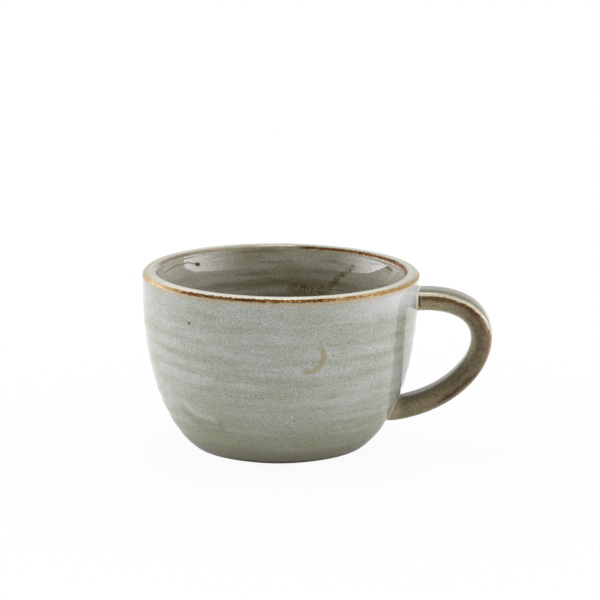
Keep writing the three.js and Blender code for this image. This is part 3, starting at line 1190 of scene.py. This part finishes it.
# %% Glaze of the handle
handle_olive = tone(120, 108, 78)
handle_brown = tone(96, 83, 56)
upper_olive = tone(168, 154, 120)
lower_olive = tone(148, 136, 100)
outer_grey = tone(116, 114, 96)
inner_painted_light = tone(206, 195, 164)
inner_grey = tone(126, 121, 98)
handle_finish, graph, place = new_finish("handle_glaze_olive")
along = attribute(graph, "along")
crest_mm = attribute(graph, "crest_mm")
turned = attribute(graph, "turned")
upper_half = graph.ramp(along, 0.42, 0.35)
side_patch = graph.ramp(graph.noise(place, 2.5 * MM, 4.0, 0.7), 0.35, 0.65)
colour = graph.mix(side_patch, handle_olive, handle_brown)
colour = graph.mix(graph.ramp(along, 0.34, 0.16, 0.0, 0.85), colour, upper_olive)
colour = graph.mix(graph.ramp(along, 0.55, 0.82, 0.0, 0.8), colour, lower_olive)
# The inner face: pale above, which is painted light from the table under it, and grey below.
inner_colour_and_light = graph.mix(graph.ramp(along, 0.42, 0.6), inner_painted_light, inner_grey)
colour = stained(graph, colour, graph.ramp(turned, 0.56, 0.8), 0.9, inner_colour_and_light)
on_face = graph.times(graph.ramp(crest_mm, 0.2, -0.8), upper_half)
colour = stained(graph, colour, on_face, 0.95, outer_grey)
colour = stippled(graph, place, colour, 0.45)
colour = stained(graph, colour, specks(graph, place, 0.7 * MM, 0.5), 0.5, iron_brown)
print("handle colours from the attributes crest_mm, turned and along")

# %% Break along the crest of the handle
wander = graph.minus(graph.noise(place, 3 * MM, 2.0), 0.5)
ragged = graph.minus(graph.noise(place, 0.6 * MM, 2.0), 0.5)
crest_place = graph.plus(wander, crest_mm)
# A cream line along the crest: partly the glaze, partly a painted highlight.
cream_line_and_highlight = graph.between(crest_place, -1.6, -0.4, 0.0, 0.35)
colour = stained(graph, colour, graph.times(cream_line_and_highlight, upper_half), 0.9, tone(228, 218, 188))
crest_place = graph.math("MULTIPLY_ADD", ragged, 1.4, crest_place)
dark_band = graph.between(crest_place, -0.1, 0.2, 0.9, 2.2)
band_share = graph.between(along, 0.078, 0.085, 0.7, 0.78)
fleck = graph.noise(place, 0.7 * MM, 2.0)
rusty = graph.between(along, 0.3, 0.44, 0.5, 0.56)
fleck = graph.math("MULTIPLY_ADD", rusty, 0.15, fleck)
rust_share = graph.times(graph.ramp(fleck, 0.5, 0.72), graph.ramp(along, 0.58, 0.5))
dark_colour = graph.mix(rust_share, iron_brown, rust)
colour = stained(graph, colour, graph.times(dark_band, band_share), 0.85, dark_colour)
grain_share = graph.between(along, 0.62, 0.68, 0.76, 0.82)
grains = graph.times(specks(graph, place, 1.1 * MM, 1.0), dark_band, grain_share)
colour = stained(graph, colour, grains, 0.85, tone(44, 30, 16))
print("the break runs along the crest down to the lower leg, and ends there in dark grains")

# %% Roots of the handle
root = attribute(graph, "root")
upper_end = graph.ramp(along, 0.3, 0.2)
# A pale line where the strap meets the wall: partly pooled glaze, partly a painted highlight on the fillet.
upper_line_and_highlight = graph.times(graph.ramp(root, 0.42, 0.56), upper_end)
root_line_and_highlight = graph.most(graph.ramp(root, 0.76, 0.88), upper_line_and_highlight)
colour = stained(graph, colour, root_line_and_highlight, 0.8, tone(222, 220, 208))
# Paler near the lower root: painted light over the shade between the wall and the strap.
lower_root_painted_light = graph.times(graph.ramp(root, 0.05, 0.5), graph.ramp(along, 0.7, 0.8))
colour = stained(graph, colour, lower_root_painted_light, 0.6, tone(200, 190, 156))
spot_along = graph.between(root, 0.08, 0.2, 0.38, 0.46)
spot_down = graph.between(crest_mm, -0.2, 0.3, 2.8, 3.4)
root_spot = graph.times(spot_along, spot_down, upper_end)
colour = stained(graph, colour, root_spot, 0.85, iron_brown)
glossed(graph, handle_finish, place, colour, 0.15)
inner_lower = graph.times(graph.ramp(turned, 0.55, 0.75), graph.ramp(along, 0.42, 0.6))
handle_shader = handle_finish.node_tree.nodes["Principled BSDF"]
graph.feed(handle_shader.inputs["Specular IOR Level"], graph.ramp(inner_lower, 0.0, 1.0, 0.35, 0.1))
print("finish", handle_finish.name)

# %% [markdown]
# Now the strap tree gets its sizes. Two ends and two pulls steer the centre line, as handles steer any
# Bezier curve. They are measured from the bowl's axis and lie close to those of the CAD strap.

# %% Pull the strap
strap_start = Vector((44.95, 0, 54.6)) * MM
strap_start_pull = Vector((89.4, 0, 61.9)) * MM
strap_end_pull = Vector((77.7, 0, 16.3)) * MM
strap_end = Vector((35.96, 0, 13.6)) * MM
to_axis = Vector((axis_x, 0, 0))
strap_values = {
    "Wall": outside_coat,
    "Columns": 97,
    "Rows": 240,
    "Root Rows": 16,
    "Thickness": 6.85 * MM + 2 * coat,
    "Width": 13.6 * MM + 2 * coat,
    "Side Round": 2.9 * MM + coat,
    "Fillet": 0.7 * MM,
    "Tuck": 1.6 * MM,
    "Upper Root": 0.08,
    "Lower Root": 0.87,
    "Start": strap_start + to_axis,
    "Start Pull": strap_start_pull + to_axis,
    "End Pull": strap_end_pull + to_axis,
    "End": strap_end + to_axis,
    "Finish": handle_finish,
}
strap_handle = bpy.data.objects.new("strap_handle", bpy.data.meshes.new("strap_handle"))
bpy.context.collection.objects.link(strap_handle)
set_sizes(strap_handle, strap, strap_values)
settle(strap_handle, handle_finish)
strap_points = [vertex.co for vertex in strap_handle.data.vertices]
strap_reach = [math.hypot(point.x - axis_x, point.y) / MM for point in strap_points]
print(f"strap stands {min(strap_reach):.1f} to {max(strap_reach):.1f} mm from the bowl's axis")

# %% [markdown]
# Last, every piece is listed with the CAD nodes it stands for and the slot of its finish. It is tied to the
# body it moves with, and those CAD nodes are hidden. A cup has no joints, so all of them ride on the one
# body.

# %% Tie the pieces to the frame
fits = [
    (clay_bowl, "stoneware", ["bowl"]),
    (outside_coat, "outside_glaze", ["outside_glaze"]),
    (inside_coat, "inside_glaze", ["inside_glaze"]),
    (underside_coat, "outside_glaze", ["underside_glaze"]),
    (strap_handle, "handle_glaze", ["handle", "handle_glaze", "upper_slip_joint", "lower_slip_joint"]),
]
for piece, slot, nodes in fits:
    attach(piece, "root")
    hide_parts(*nodes)
